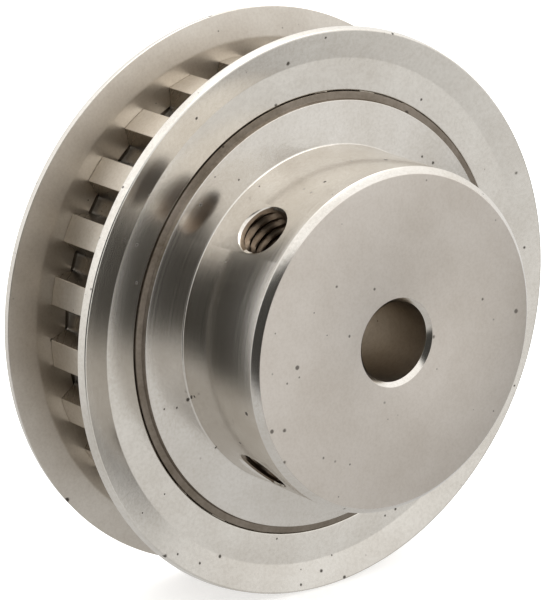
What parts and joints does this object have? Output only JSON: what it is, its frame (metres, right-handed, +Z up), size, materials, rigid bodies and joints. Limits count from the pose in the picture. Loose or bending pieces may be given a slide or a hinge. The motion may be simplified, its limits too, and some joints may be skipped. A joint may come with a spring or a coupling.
{
  "type": "timing belt pulley",
  "caption": "Toothed timing belt pulley with flared side flanges and a one-sided hub that radial set screws lock to its shaft.",
  "frame": {"origin": "on the shaft axis, in the middle plane of the belt, half way between the flanges", "axes": "+Y along the shaft axis, away from the hub; the hub points to -Y; +Z up; set_screw_1 points up and to -X, set_screw_2 down and to -X"},
  "size_m": [0.0456, 0.0199, 0.0456],
  "materials": {
    "machined_body": "turned, satin",
    "flange_sheet": "bright zinc plated sheet",
    "screw_steel": "dark oxide with a little rust"
  },
  "bodies": {
    "pulley": {"pulley_body": "machined_body", "front_flange": "flange_sheet", "rear_flange": "flange_sheet"},
    "screw_1": {"set_screw_1": "screw_steel"},
    "screw_2": {"set_screw_2": "screw_steel"}
  },
  "joints": [
    {"name": "screw_1_travel", "type": "slide", "parent": "pulley", "child": "screw_1", "axis": [-0.7071, 0, 0.7071], "range_m": [-0.0003, 0.005]},
    {"name": "screw_2_travel", "type": "slide", "parent": "pulley", "child": "screw_2", "axis": [-0.7071, 0, -0.7071], "range_m": [-0.0003, 0.005]}
  ]
}
